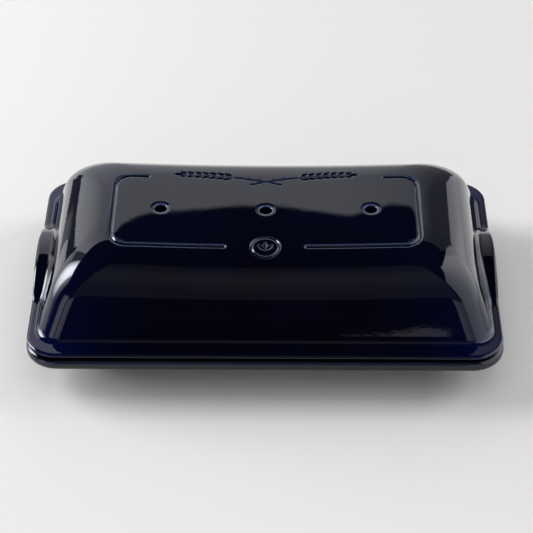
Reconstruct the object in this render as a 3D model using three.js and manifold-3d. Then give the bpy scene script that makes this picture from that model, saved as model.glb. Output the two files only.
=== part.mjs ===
// Baguette baker in glazed stoneware: a tray with three troughs and a domed lid that lifts straight off.
// Millimetres, +Z up, X along the loaves. The origin is the middle of the footprint, on the table.
import * as THREE from 'three';
import { mergeVertices } from 'three/addons/utils/BufferGeometryUtils.js';
import Module from 'manifold-3d';

const wasm = await Module();
wasm.setup();

// Outline of the tray's rim and of the lid's flange
const rimLength = 391.6;
const rimWidth = 240.2;
const rimCorner = 27;
const lidSetback = 0.9;

// Lid flange and the grips arched out of it at the short ends
const flangeThickness = 4.6;
const flangeEdge = 2;
const endFlange = 8.4;
const sideFlange = 16.5;
const gripSpan = 112;
const gripRise = 16;
const gripBlend = 22;

// Lid dome: hipped walls that roll over into a nearly flat crown
const domeHeight = 61.7;
const wallAngle = THREE.MathUtils.degToRad(70);
const crownRadius = 49.6;
const footFillet = 5;
const lidWall = 5.5;
const footCorner = 20;
const crownCorner = 38;
const cornerGrowth = 1.7;
const crownSag = 3.4;

// Steam vents along the crown
const ventCount = 3;
const ventSpacing = 87.8;
const ventDiameter = 10;
const ventLip = 1.8;

// Bracket-shaped grooves that frame the crown
const frameLength = 255;
const frameWidth = 97;
const frameCorner = 10;
const frameBackRun = 24;
const frameFrontRun = 93.5;
const grooveRadius = 2.2;
const grooveLift = 0.9;

// Tray: rim, locating ridge and half-round troughs
const seatGap = 0.3;
const rimHeight = 10.5;
const rimEdge = 2.5;
const rimStep = 3;
const ridgeHeight = 3;
const ridgeWidth = 4.4;
const ridgeClearance = 1.2;
const troughCount = 3;
const troughGap = 3;
const troughMargin = 0.6;
const troughEndMargin = 6;
const troughEndRun = 42;
const trayWall = 7;
const footFlat = 1.5;

// Small reliefs: easing of the sag, draft of the grip pockets and of the ridge, least inside corner, the
// share of a thickness that its two rounded edges may take, and the vent lip's angle at the crown
const sagEase = 0.2;
const pocketDraft = 0.6;
const ridgeDraft = 0.8;
const innerCornerLeast = 4;
const edgeShare = 0.48;
const lipLift = THREE.MathUtils.degToRad(15);

// Facets of each ring along a short end, along a long side and round a corner, then of rolled and swept forms
const endSteps = 20;
const sideSteps = 10;
const cornerSteps = 5;
const rollSteps = 6;
const filletSteps = 3;
const edgeSteps = 2;
const ventSides = 24;
const grooveSteps = 36;
const grooveSides = 8;
const troughSides = 20;
const troughEndSteps = 6;
const troughTurn = THREE.MathUtils.degToRad(80);
const halvings = 30;
const mergeTolerance = 1e-4;

// The wall's lean, and how far inside the foot line the outer and inner faces stand at a height
// above the flange
const lean = 1 / Math.tan(wallAngle);
const outerInset = (height) => height * lean;
const innerInset = (height) => lidWall / Math.sin(wallAngle) + height * lean;
const seatLevel = -flangeThickness;
const rimLevel = seatLevel - seatGap;

const lidHalf = new THREE.Vector2(rimLength / 2 - lidSetback, rimWidth / 2 - lidSetback);
const footHalf = new THREE.Vector2(lidHalf.x - endFlange, lidHalf.y - sideFlange);
const lidCorner = rimCorner - lidSetback;

// The ridge stands inside the lid's mouth, and the troughs share the width inside the ridge
const ridgeInset = (height) => innerInset(height) + ridgeClearance;
const fieldInset = ridgeInset(rimLevel) + ridgeWidth + ridgeDraft;
const fieldHalf = footHalf.clone().subScalar(fieldInset);
const troughBand = 2 * (fieldHalf.y - troughMargin);
const troughRadius = (troughBand - (troughCount - 1) * troughGap) / (2 * troughCount);
const troughPitch = 2 * troughRadius + troughGap;
const troughHalfLength = fieldHalf.x - troughEndMargin;

// Heights above the table, stacked up from the feet
const fieldZ = troughRadius + trayWall - footFlat;
const rimZ = fieldZ + rimStep;
const flangeZ = rimZ + seatGap + flangeThickness;

// One grip rises as a round arch with a hollow blend at each foot
const gripAngle = 2 * Math.atan(gripRise / (gripSpan / 2));
const gripRadius = gripSpan / 2 / Math.sin(gripAngle) - gripBlend;
function gripArch(y) {
  const reach = gripSpan / 2 - Math.abs(y);
  if (reach <= 0) return 0;
  if (Math.abs(y) < gripRadius * Math.sin(gripAngle)) {
    return Math.sqrt(gripRadius ** 2 - y ** 2) - gripRadius + gripRise;
  }
  return gripBlend - Math.sqrt(gripBlend ** 2 - reach ** 2);
}

// A rounded rectangle as a closed ring of points, counter-clockwise from the middle of the +X end. All rings
// have the same steps, so they match point for point.
function roundedRing(halfX, halfY, corner) {
  const radius = Math.min(corner, halfX - 1, halfY - 1);
  const endHalf = halfY - radius;
  const sideHalf = halfX - radius;
  const quarter = [];
  for (let i = 0; i < endSteps / 2; i += 1) {
    quarter.push(new THREE.Vector2(halfX, (endHalf * i) / (endSteps / 2)));
  }
  for (let i = 0; i < cornerSteps; i += 1) {
    const angle = (Math.PI / 2) * (i / cornerSteps);
    quarter.push(new THREE.Vector2(sideHalf + radius * Math.cos(angle), endHalf + radius * Math.sin(angle)));
  }
  for (let i = 0; i < sideSteps / 2; i += 1) {
    quarter.push(new THREE.Vector2(sideHalf * (1 - i / (sideSteps / 2)), halfY));
  }
  const middle = new THREE.Vector2(0, halfY);
  const mirrorX = (p) => new THREE.Vector2(-p.x, p.y);
  const upper = [...quarter, middle, ...quarter.map(mirrorX).reverse()];
  const lower = upper.slice(1, -1).map((p) => new THREE.Vector2(p.x, -p.y)).reverse();
  return [...upper, ...lower];
}

// Skins rings from the first to the last and closes both with strips across the width
function loftRings(rings) {
  const count = rings[0].length;
  const index = [];
  for (let i = 0; i < rings.length - 1; i += 1) {
    for (let k = 0; k < count; k += 1) {
      const a = i * count + k;
      const b = i * count + ((k + 1) % count);
      index.push(a, a + count, b + count, a, b + count, b);
    }
  }
  const close = (first, facesUp) => {
    for (let k = 0; k < count / 2; k += 1) {
      const quad = [k, k + 1, count - k - 1, (count - k) % count].map((n) => first + n);
      const sides = facesUp ? quad : quad.reverse();
      if (new Set(sides.slice(0, 3)).size === 3) index.push(sides[0], sides[1], sides[2]);
      if (new Set([sides[0], sides[2], sides[3]]).size === 3) index.push(sides[0], sides[2], sides[3]);
    }
  };
  close(0, true);
  close((rings.length - 1) * count, false);
  return bufferGeometry(rings.flat().flatMap((p) => [p.x, p.y, p.z]), index);
}

// Skins convex sections that follow each other along +X and closes the two ends with fans
function loftSections(sections) {
  const count = sections[0].length;
  const index = [];
  for (let i = 0; i < sections.length - 1; i += 1) {
    for (let k = 0; k < count; k += 1) {
      const a = i * count + k;
      const b = i * count + ((k + 1) % count);
      index.push(a, b, b + count, a, b + count, a + count);
    }
  }
  const last = (sections.length - 1) * count;
  for (let k = 1; k < count - 1; k += 1) {
    index.push(0, k + 1, k);
    index.push(last, last + k, last + k + 1);
  }
  return bufferGeometry(sections.flat().flatMap((p) => [p.x, p.y, p.z]), index);
}

function bufferGeometry(positions, index) {
  const geometry = new THREE.BufferGeometry();
  geometry.setAttribute('position', new THREE.Float32BufferAttribute(positions, 3));
  geometry.setIndex(index);
  return geometry;
}

// A closed mesh as a solid that can be joined and cut
function solidOf(geometry) {
  geometry.deleteAttribute('normal');
  geometry.deleteAttribute('uv');
  const merged = mergeVertices(geometry, mergeTolerance);
  const corners = merged.index.array;
  const triangles = [];
  for (let i = 0; i < corners.length; i += 3) {
    const [a, b, c] = corners.slice(i, i + 3);
    if (a !== b && b !== c && c !== a) triangles.push(a, b, c);
  }
  return new wasm.Manifold(new wasm.Mesh({
    numProp: 3,
    vertProperties: merged.attributes.position.array,
    triVerts: new Uint32Array(triangles),
  }));
}

function meshOf(name, solid, material) {
  const { vertProperties, triVerts } = solid.getMesh();
  const geometry = bufferGeometry(vertProperties, Array.from(triVerts));
  geometry.computeVertexNormals();
  const mesh = new THREE.Mesh(geometry, material);
  mesh.name = name;
  return mesh;
}

// Crown of the dome, with heights above the flange: the roll from the wall (angle wallAngle) to the flat
// (angle zero), for the outer face or for a face set in by a thickness
const rollCentre = domeHeight - crownRadius;
const rollFoot = rollCentre + crownRadius * Math.cos(wallAngle);
const flatInset = outerInset(rollFoot) + crownRadius * Math.sin(wallAngle);
const flatHalfLength = footHalf.x - flatInset;
const rollPoint = (angle, thickness = 0) => ({
  inset: flatInset - (crownRadius - thickness) * Math.sin(angle),
  height: rollCentre + (crownRadius - thickness) * Math.cos(angle),
});

// Plan corners open out from the foot to the flat of the crown
function cornerAt(inset) {
  const share = THREE.MathUtils.clamp(inset / flatInset, 0, 1);
  return footCorner + (crownCorner - footCorner) * share ** cornerGrowth;
}

// The crown dips a little towards the middle of its length, as a long fired cover does
function sagAt(x, height) {
  const dip = 1 - (x / flatHalfLength) ** 2;
  const eased = (dip + Math.hypot(dip, sagEase)) / 2;
  return crownSag * (height / domeHeight) * eased;
}

// Sets a ring at a height above the flange. A ring that rides follows the grips upwards, and drift moves it
// inwards as it rises, so that it stays on the wall.
function setRing(ring, height, { rides = false, drift = 0 } = {}) {
  return ring.map((p) => {
    const rise = rides ? gripArch(p.y) : 0;
    const x = p.x - Math.sign(p.x) * drift * rise;
    return new THREE.Vector3(x, p.y, height + rise - sagAt(x, Math.max(height, 0)));
  });
}

function domeRing(inset, height, options = {}) {
  const corner = Math.max(cornerAt(inset) - (options.offset ?? 0), innerCornerLeast);
  return setRing(roundedRing(footHalf.x - inset, footHalf.y - inset, corner), height, options);
}

function flangeRing(setIn, height) {
  const ring = roundedRing(lidHalf.x - setIn, lidHalf.y - setIn, lidCorner - setIn);
  return setRing(ring, height, { rides: true });
}

// Evenly spread values, both ends included
function spread(steps, from, to) {
  return Array.from({ length: steps + 1 }, (_, i) => from + ((to - from) * i) / steps);
}

function lidBody() {
  const edge = Math.min(flangeEdge, flangeThickness * edgeShare);
  const onWall = { rides: true, drift: lean };
  const outerRoll = spread(rollSteps, 0, wallAngle).map((angle) => {
    const { inset, height } = rollPoint(angle);
    return domeRing(inset, height);
  });
  const foot = spread(filletSteps, wallAngle, 0).map((angle) => {
    const inset = footFillet * (Math.sin(angle) - Math.tan(wallAngle / 2));
    return domeRing(inset, footFillet * (1 - Math.cos(angle)), onWall);
  });
  const topEdge = spread(edgeSteps, 0, Math.PI / 2).map((angle) => {
    return flangeRing(edge * (1 - Math.sin(angle)), -edge * (1 - Math.cos(angle)));
  });
  const lowEdge = spread(edgeSteps, Math.PI / 2, 0).map((angle) => {
    return flangeRing(edge * (1 - Math.sin(angle)), seatLevel + edge * (1 - Math.cos(angle)));
  });
  const pocketInset = outerInset(seatLevel);
  const pocket = [domeRing(pocketInset, seatLevel, onWall), domeRing(pocketInset + pocketDraft, seatLevel)];
  const mouth = domeRing(innerInset(seatLevel), seatLevel, { offset: lidWall });
  const innerRoll = spread(rollSteps, wallAngle, 0).map((angle) => {
    const { inset, height } = rollPoint(angle, lidWall);
    return domeRing(inset, height, { offset: lidWall * Math.sin(angle) });
  });
  return solidOf(loftRings([...outerRoll, ...foot, ...topEdge, ...lowEdge, ...pocket, mouth, ...innerRoll]));
}

// Height of the crown over a point: the ring of the dome that passes through it is found by halving
function crownHeight(x, y) {
  const outside = (inset) => {
    const corner = Math.min(cornerAt(inset), footHalf.y - inset - 1);
    const dx = Math.abs(x) - (footHalf.x - inset - corner);
    const dy = Math.abs(y) - (footHalf.y - inset - corner);
    return Math.hypot(Math.max(dx, 0), Math.max(dy, 0)) + Math.min(Math.max(dx, dy), 0) > corner;
  };
  let low = 0;
  let high = flatInset;
  for (let i = 0; i < halvings; i += 1) {
    const middle = (low + high) / 2;
    if (outside(middle)) high = middle;
    else low = middle;
  }
  const angle = Math.asin(Math.min((flatInset - low) / crownRadius, 1));
  const { height } = rollPoint(angle);
  return height - sagAt(x, height);
}

// One steam vent: a round hole with a rounded lip at the crown
function ventCut(x) {
  const top = crownHeight(x, 0);
  const radius = ventDiameter / 2;
  const lip = spread(edgeSteps, 0, Math.PI / 2 - lipLift).map((angle) => {
    return new THREE.Vector2(radius + ventLip * (1 - Math.cos(angle)), top - ventLip * (1 - Math.sin(angle)));
  });
  const profile = [
    new THREE.Vector2(0, top - 2 * lidWall),
    new THREE.Vector2(radius, top - 2 * lidWall),
    ...lip,
    new THREE.Vector2(radius + ventLip, top + ventLip),
    new THREE.Vector2(0, top + ventLip),
  ];
  const cut = new THREE.LatheGeometry(profile, ventSides);
  cut.rotateX(Math.PI / 2);
  cut.translate(x, 0, 0);
  return solidOf(cut);
}

// One bracket: a short run on the back line, down the end of the crown and a long run on the front line
function bracketCut(side) {
  const halfLength = frameLength / 2;
  const halfWidth = frameWidth / 2;
  const outline = new THREE.Path();
  outline.moveTo(halfLength - frameBackRun, halfWidth);
  outline.lineTo(halfLength - frameCorner, halfWidth);
  outline.absarc(halfLength - frameCorner, halfWidth - frameCorner, frameCorner, Math.PI / 2, 0, true);
  outline.lineTo(halfLength, frameCorner - halfWidth);
  outline.absarc(halfLength - frameCorner, frameCorner - halfWidth, frameCorner, 0, -Math.PI / 2, true);
  outline.lineTo(halfLength - frameFrontRun, -halfWidth);
  const onCrown = outline.getSpacedPoints(grooveSteps).map((p) => {
    return new THREE.Vector3(side * p.x, p.y, crownHeight(p.x, p.y) + grooveLift);
  });
  const section = new THREE.Shape().absarc(0, 0, grooveRadius, 0, 2 * Math.PI);
  const sweep = new THREE.ExtrudeGeometry(section, {
    extrudePath: new THREE.CatmullRomCurve3(onCrown),
    steps: grooveSteps,
    curveSegments: grooveSides,
  });
  return solidOf(sweep);
}

function lidSolid() {
  const vents = Array.from({ length: ventCount }, (_, i) => ventCut((i - (ventCount - 1) / 2) * ventSpacing));
  const cuts = [...vents, bracketCut(1), bracketCut(-1)];
  return cuts.reduce((lid, cut) => lid.subtract(cut), lidBody());
}

// Rim of the tray with the locating ridge inside the lid's mouth, and the field that the troughs sink into
function rimBody() {
  const edge = Math.min(rimEdge, rimHeight * edgeShare);
  const half = new THREE.Vector2(rimLength / 2, rimWidth / 2);
  const level = (ring, z) => ring.map((p) => new THREE.Vector3(p.x, p.y, z));
  const rimRing = (setIn, z) => level(roundedRing(half.x - setIn, half.y - setIn, rimCorner - setIn), z);
  const ridgeRing = (inset, z) => level(roundedRing(footHalf.x - inset, footHalf.y - inset, footCorner), z);
  const ridgeTop = ridgeInset(rimLevel + ridgeHeight);
  const topEdge = spread(edgeSteps, 0, Math.PI / 2).map((angle) => {
    return rimRing(edge * (1 - Math.sin(angle)), rimZ - edge * (1 - Math.cos(angle)));
  });
  const lowEdge = spread(edgeSteps, Math.PI / 2, 0).map((angle) => {
    return rimRing(edge * (1 - Math.sin(angle)), rimZ - rimHeight + edge * (1 - Math.cos(angle)));
  });
  return solidOf(loftRings([
    ridgeRing(fieldInset, fieldZ),
    ridgeRing(ridgeTop + ridgeWidth - ridgeDraft, rimZ + ridgeHeight),
    ridgeRing(ridgeTop, rimZ + ridgeHeight),
    ridgeRing(ridgeInset(rimLevel), rimZ),
    ...topEdge,
    ...lowEdge,
  ]));
}

// A half-round bar along a trough, with ends that run out as half an egg, flat at topZ and not below floorZ
function troughBar({ y, radius, halfLength, topZ, floorZ }) {
  const straight = halfLength - troughEndRun;
  const section = (x, reach) => {
    const start = Math.asin(Math.max(fieldZ - topZ, 0) / reach);
    const round = spread(troughSides, Math.PI + start, 2 * Math.PI - start).map((turn) => {
      const z = Math.max(fieldZ + reach * Math.sin(turn), floorZ);
      return new THREE.Vector3(x, y + reach * Math.cos(turn), z);
    });
    const shoulders = [new THREE.Vector3(x, y + reach, topZ), new THREE.Vector3(x, y - reach, topZ)];
    return topZ > fieldZ ? [...round, ...shoulders] : round;
  };
  const egg = (side, from, to) => spread(troughEndSteps, from, to).map((angle) => {
    return section(side * straight + troughEndRun * Math.sin(angle), radius * Math.cos(angle));
  });
  return solidOf(loftSections([...egg(-1, -troughTurn, 0), ...egg(1, 0, troughTurn)]));
}

function traySolid() {
  const places = Array.from({ length: troughCount }, (_, i) => (i - (troughCount - 1) / 2) * troughPitch);
  const bars = places.map((y) => troughBar({
    y,
    radius: troughRadius + trayWall,
    halfLength: troughHalfLength + trayWall,
    topZ: fieldZ - (rimHeight - rimStep) / 2,
    floorZ: 0,
  }));
  const hollows = places.map((y) => troughBar({
    y,
    radius: troughRadius,
    halfLength: troughHalfLength,
    topZ: rimZ + ridgeHeight,
    floorZ: 0,
  }));
  const filled = bars.reduce((tray, bar) => tray.add(bar), rimBody());
  return hollows.reduce((tray, hollow) => tray.subtract(hollow), filled);
}

const navyGlaze = () => new THREE.MeshStandardMaterial({ color: 0x0c1130, roughness: 0.12, metalness: 0 });

const tray = meshOf('base_tray', traySolid(), navyGlaze());
const lid = meshOf('lid', lidSolid(), navyGlaze());
lid.position.z = flangeZ;

const baker = new THREE.Group();
baker.add(tray, lid);

export default baker;
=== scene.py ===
import math

import bpy
import bmesh
import numpy as np
from mathutils import Matrix, Vector


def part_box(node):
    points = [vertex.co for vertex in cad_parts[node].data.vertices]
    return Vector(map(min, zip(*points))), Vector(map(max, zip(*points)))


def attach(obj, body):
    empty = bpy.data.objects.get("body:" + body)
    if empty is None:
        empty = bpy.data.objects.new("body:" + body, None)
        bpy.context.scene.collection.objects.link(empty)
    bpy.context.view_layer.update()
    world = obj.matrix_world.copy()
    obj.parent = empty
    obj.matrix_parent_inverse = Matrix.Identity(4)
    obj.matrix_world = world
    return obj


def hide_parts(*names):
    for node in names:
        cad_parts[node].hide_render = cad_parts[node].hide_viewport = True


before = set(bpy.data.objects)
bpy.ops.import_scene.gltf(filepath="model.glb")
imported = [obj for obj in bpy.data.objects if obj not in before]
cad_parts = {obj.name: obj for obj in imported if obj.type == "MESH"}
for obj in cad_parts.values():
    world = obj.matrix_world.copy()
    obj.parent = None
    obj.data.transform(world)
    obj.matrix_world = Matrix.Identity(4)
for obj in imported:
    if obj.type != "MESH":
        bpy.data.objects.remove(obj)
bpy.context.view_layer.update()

scene = bpy.context.scene
scene.view_settings.view_transform = "Standard"
mm = 0.001
lidBox = np.array(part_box("lid")) / mm
trayBox = np.array(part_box("base_tray")) / mm
print("frame loaded, lid box", lidBox.round(1).tolist())


# rings, lofts and cuts

def smoothStep(value, low, high):
    share = np.clip((value - low) / (high - low), 0, 1)
    return share * share * (3 - 2 * share)


def rounded(halfX, halfY, corner, steps):
    # closed rounded rectangle, from the middle of the +X end, anticlockwise
    radius = min(corner, halfX - 0.3, halfY - 0.3)
    endHalf, sideHalf = halfY - radius, halfX - radius
    end = np.arange(steps["end"] // 2) / (steps["end"] // 2)
    turn = np.arange(steps["corner"]) / steps["corner"] * math.pi / 2
    side = 1 - np.arange(steps["side"] // 2) / (steps["side"] // 2)
    quarter = np.concatenate([
        np.column_stack([np.full(len(end), halfX), endHalf * end]),
        np.column_stack([sideHalf + radius * np.cos(turn), endHalf + radius * np.sin(turn)]),
        np.column_stack([sideHalf * side, np.full(len(side), halfY)]),
    ])
    upper = np.concatenate([quarter, [[0, halfY]], quarter[::-1] * [-1, 1]])
    return np.concatenate([upper, upper[1:-1][::-1] * [1, -1]])


def outside(x, y, halfX, halfY, corner):
    # signed distance to a rounded rectangle, above zero outside
    dx = np.abs(x) - (halfX - corner)
    dy = np.abs(y) - (halfY - corner)
    return np.hypot(np.maximum(dx, 0), np.maximum(dy, 0)) + np.minimum(np.maximum(dx, dy), 0) - corner


def level(ring, z):
    return np.column_stack([ring, np.full(len(ring), z)])


def between(first, last, count):
    # rings ruled between two others, ends left out
    return [first + (last - first) * (i + 1) / (count + 1) for i in range(count)]


def loft(name, rings):
    count = len(rings[0])
    faces = []
    for i in range(len(rings) - 1):
        for k in range(count):
            a, b = i * count + k, i * count + (k + 1) % count
            faces.append((a, a + count, b + count, b))
    for first, up in ((0, True), ((len(rings) - 1) * count, False)):
        for k in range(count // 2):
            strip = [first + n for n in (k, k + 1, count - k - 1, (count - k) % count)]
            strip = list(dict.fromkeys(strip))
            faces.append(strip if up else strip[::-1])
    mesh = bpy.data.meshes.new(name)
    mesh.from_pydata((np.concatenate(rings) * mm).tolist(), [], faces)
    return addPiece(name, mesh)


def lathe(name, profile, x, y, sides):
    turns = np.arange(sides) / sides * 2 * math.pi
    points = [(x + r * math.cos(t), y + r * math.sin(t), z) for r, z in profile for t in turns]
    faces = []
    for i in range(len(profile) - 1):
        for k in range(sides):
            a, b = i * sides + k, i * sides + (k + 1) % sides
            faces.append((a, b, b + sides, a + sides))
    last = (len(profile) - 1) * sides
    faces.append(tuple(range(sides))[::-1])
    faces.append(tuple(range(last, last + sides)))
    mesh = bpy.data.meshes.new(name)
    mesh.from_pydata((np.array(points) * mm).tolist(), [], faces)
    return addPiece(name, mesh)


def addPiece(name, mesh):
    piece = bpy.data.objects.new(name, mesh)
    scene.collection.objects.link(piece)
    return piece


def combine(piece, tools, operation):
    for tool in tools:
        cut = piece.modifiers.new(tool.name, "BOOLEAN")
        cut.object = tool
        cut.operation = operation
        cut.solver = "MANIFOLD"
    bpy.context.view_layer.update()
    graph = bpy.context.evaluated_depsgraph_get()
    made = bpy.data.meshes.new_from_object(piece.evaluated_get(graph))
    piece.modifiers.clear()
    old = piece.data
    piece.data = made
    bpy.data.meshes.remove(old)
    made.name = piece.name
    for tool in tools:
        bpy.data.objects.remove(tool)


def coordinates(mesh):
    flat = np.empty(len(mesh.vertices) * 3, dtype=np.float32)
    mesh.vertices.foreach_get("co", flat)
    return flat.reshape(-1, 3).astype(float) / mm


def setCoordinates(mesh, points):
    mesh.vertices.foreach_set("co", (points * mm).astype(np.float32).ravel())
    mesh.update()


def storeMask(mesh, name, values, most=1.0):
    mask = mesh.attributes.new(name, "FLOAT", "POINT")
    mask.data.foreach_set("value", np.clip(values, 0, most).astype(np.float32))


def finishMesh(piece, sharpAngle):
    piece.data.shade_smooth()
    piece.data.set_sharp_from_angle(angle=math.radians(sharpAngle))
    normals = np.empty(len(piece.data.vertices) * 3, dtype=np.float32)
    piece.data.vertex_normals.foreach_get("vector", normals)
    steep = smoothStep(1 - np.abs(normals[2::3]), 0.02, 0.2)
    sideways = smoothStep(np.abs(normals[0::3]), 0.25, 0.7)
    storeMask(piece.data, "glazeRun", 0.03 + steep * (0.14 + 0.83 * sideways))


# lid

lidForm = {
    "flange": 4.6, "flangeEdge": 2.9, "flangeUnder": 0.9, "slotRise": 2.0, "slotDepth": 4.6,
    "endFlange": 8.4, "sideFlange": 16.5, "corner": 26.1,
    "gripSpan": 112, "gripRise": 16, "gripBlend": 22, "gripRoof": 2.4,
    "dome": 61.7, "wallAngle": math.radians(70), "crownRadius": 49.6, "footFillet": 5.0, "wall": 5.5,
    "footCorner": 20, "crownCorner": 38, "cornerGrowth": 1.7, "innerCorner": 4,
    "sag": 3.4, "sagEase": 0.2, "pocketDraft": 0.6, "mouthEdge": 1.4, "crownFrom": 0.7, "carveFrom": 0.72,
    "steps": {"end": 112, "corner": 22, "side": 150},
}
lidHalf = lidBox[1][:2]
footHalf = lidHalf - [lidForm["endFlange"], lidForm["sideFlange"]]
flangeZ = lidBox[0][2] + lidForm["flange"]
lean = 1 / math.tan(lidForm["wallAngle"])
rollCentre = lidForm["dome"] - lidForm["crownRadius"]
rollFoot = rollCentre + lidForm["crownRadius"] * math.cos(lidForm["wallAngle"])
flatInset = rollFoot * lean + lidForm["crownRadius"] * math.sin(lidForm["wallAngle"])
flatHalf = footHalf - flatInset


def gripArch(y):
    half, rise, blend = lidForm["gripSpan"] / 2, lidForm["gripRise"], lidForm["gripBlend"]
    angle = 2 * math.atan(rise / half)
    radius = half / math.sin(angle) - blend
    reach = np.clip(half - np.abs(y), 0, blend)
    foot = blend - np.sqrt(blend ** 2 - reach ** 2)
    crest = np.sqrt(np.maximum(radius ** 2 - y ** 2, 0)) - radius + rise
    return np.where(np.abs(y) < radius * math.sin(angle), crest, foot)


def sagAt(x, height):
    dip = 1 - (x / flatHalf[0]) ** 2
    return lidForm["sag"] * height / lidForm["dome"] * (dip + np.hypot(dip, lidForm["sagEase"])) / 2


def cornerAt(inset):
    share = np.clip(inset / flatInset, 0, 1) ** lidForm["cornerGrowth"]
    return lidForm["footCorner"] + (lidForm["crownCorner"] - lidForm["footCorner"]) * share


def rollPoint(angle, thickness=0.0):
    radius = lidForm["crownRadius"] - thickness
    return flatInset - radius * math.sin(angle), rollCentre + radius * math.cos(angle)


def setRing(ring, height, rides=0.0, drift=0.0, out=0.0, drop=0.0):
    # a ring that rides follows the grips up; out and drop round the roof of the finger pocket
    rise = gripArch(ring[:, 1])
    tuck = np.minimum(lidForm["gripRoof"], 0.4 * rise)
    x = ring[:, 0] - np.sign(ring[:, 0]) * (drift * rise - out * tuck)
    z = height + rides * rise - drop * tuck - sagAt(x, max(height, 0))
    return np.column_stack([x, ring[:, 1], z + flangeZ])


def domeRing(inset, height, offset=0.0, **moves):
    corner = max(cornerAt(inset) - offset, lidForm["innerCorner"])
    ring = rounded(footHalf[0] - inset, footHalf[1] - inset, corner, lidForm["steps"])
    return setRing(ring, height, **moves)


def crownRing(depth, height):
    # rings over the flat of the crown, closing towards its middle line
    half = flatHalf - depth
    corner = lidForm["crownCorner"] * half[1] / flatHalf[1]
    return setRing(rounded(half[0], half[1], corner, lidForm["steps"]), height)


def flangeRing(setIn, height):
    corner = lidForm["corner"] - setIn
    return setRing(rounded(lidHalf[0] - setIn, lidHalf[1] - setIn, corner, lidForm["steps"]), height, rides=1)


def crownHeight(x, y):
    low, high = np.zeros_like(x), np.full_like(x, flatInset)
    for _ in range(40):
        middle = (low + high) / 2
        beyond = outside(x, y, footHalf[0] - middle, footHalf[1] - middle, cornerAt(middle)) > 0
        high = np.where(beyond, middle, high)
        low = np.where(beyond, low, middle)
    share = np.clip((flatInset - low) / lidForm["crownRadius"], 0, 1)
    height = rollCentre + lidForm["crownRadius"] * np.sqrt(1 - share ** 2)
    return height - sagAt(x, height) + flangeZ


def lidRings():
    edge, under = lidForm["flangeEdge"], lidForm["flangeUnder"]
    seat, wall, angle = -lidForm["flange"], lidForm["wall"], lidForm["wallAngle"]
    crown = [crownRing(depth, lidForm["dome"]) for depth in np.linspace(flatHalf[1] - 1.2, 0, 23)[:-1]]
    roll = [domeRing(*rollPoint(a)) for a in np.linspace(0, angle, 32)]
    foot = []
    for a in np.linspace(angle, 0, 9):
        inset = lidForm["footFillet"] * (math.sin(a) - math.tan(angle / 2))
        foot.append(domeRing(inset, lidForm["footFillet"] * (1 - math.cos(a)), rides=1, drift=lean))
    drop = lidForm["flange"] - lidForm["slotRise"] - under
    top = [flangeRing(edge * (1 - math.sin(a)), -drop * (1 - math.cos(a)))
           for a in np.linspace(0, math.pi / 2, 9)]
    low = [flangeRing(under * (1 - math.sin(a)), seat + lidForm["slotRise"] + under * (1 - math.cos(a)))
           for a in np.linspace(math.pi / 2, 0, 7)]
    low += [flangeRing(lidForm["slotDepth"], seat + lidForm["slotRise"]),
            flangeRing(lidForm["slotDepth"] + 0.8, seat)]
    pocketInset = seat * lean
    roof = [domeRing(pocketInset, seat, rides=1, drift=lean, out=1 - math.sin(a), drop=1 - math.cos(a))
            for a in np.linspace(0, math.pi / 2, 5)]
    pocketFoot = domeRing(pocketInset + lidForm["pocketDraft"], seat)
    mouthInset, lip = wall / math.sin(angle) + seat * lean, lidForm["mouthEdge"]
    mouth = [domeRing(mouthInset - lip * (1 - math.sin(a)), seat + lip * (1 - math.cos(a)), offset=wall)
             for a in np.linspace(0, math.pi / 2, 5)]
    inner = []
    for a in np.linspace(angle, 0, 17):
        inner.append(domeRing(*rollPoint(a, wall), offset=wall * math.sin(a)))
    ceiling = [crownRing(depth, lidForm["dome"] - wall)
               for depth in np.linspace(0, flatHalf[1] - 1.2, 12)[1:]]
    return (crown + roll + between(roll[-1], foot[0], 8) + foot + between(foot[-1], top[0], 3) + top + low
            + between(low[-1], roof[0], 2) + roof + between(roof[-1], pocketFoot, 4) + [pocketFoot]
            + mouth + between(mouth[-1], inner[0], 6) + inner + ceiling)


# relief on the crown: two bracket grooves, a raised boss in the front gap, a wheat spray in the back gap

bracketForm = {"length": 255, "back": 43.5, "front": -49.8, "corner": 14, "backRun": 27, "frontRun": 93.5,
               "halfWidth": 2.25, "depth": 1.35}
bossForm = {"y": -49.5, "radius": 11.6, "halfWidth": 1.3, "depth": 1.0, "rise": 0.25, "grainLength": 10.8,
            "grainWidth": 3.4, "grainDepth": 0.6, "grainTurn": math.radians(38)}
sprayForm = {"start": 8.0, "end": 70.0, "y": 40.5, "bow": 15.0, "grains": 7, "grainLength": 11.5,
             "grainWidth": 4.4, "grainTurn": math.radians(27), "grainDepth": 1.15,
             "stemWidth": 1.15, "stemDepth": 0.85}
ventForm = {"count": 3, "spacing": 87.8, "radius": 5.2, "lip": 1.2, "lowerLip": 1.0, "sides": 72,
            "dish": 8.6, "dishDepth": 0.5}


def bracketLine(side):
    half, corner = bracketForm["length"] / 2, bracketForm["corner"]
    back, front = bracketForm["back"], bracketForm["front"]
    turn = np.linspace(0, math.pi / 2, 15)
    points = [(half - bracketForm["backRun"], back)]
    points += [(half - corner + corner * math.sin(t), back - corner + corner * math.cos(t)) for t in turn]
    points += [(half - corner + corner * math.cos(t), front + corner - corner * math.sin(t)) for t in turn]
    points += [(half - bracketForm["frontRun"], front)]
    return np.array(points) * [side, 1]


def sprayPoint(share, side):
    x = sprayForm["start"] + (sprayForm["end"] - sprayForm["start"]) * share
    y = sprayForm["y"] + sprayForm["bow"] * share * (1 - 0.5 * share)
    return np.array([side * x, y])


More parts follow.
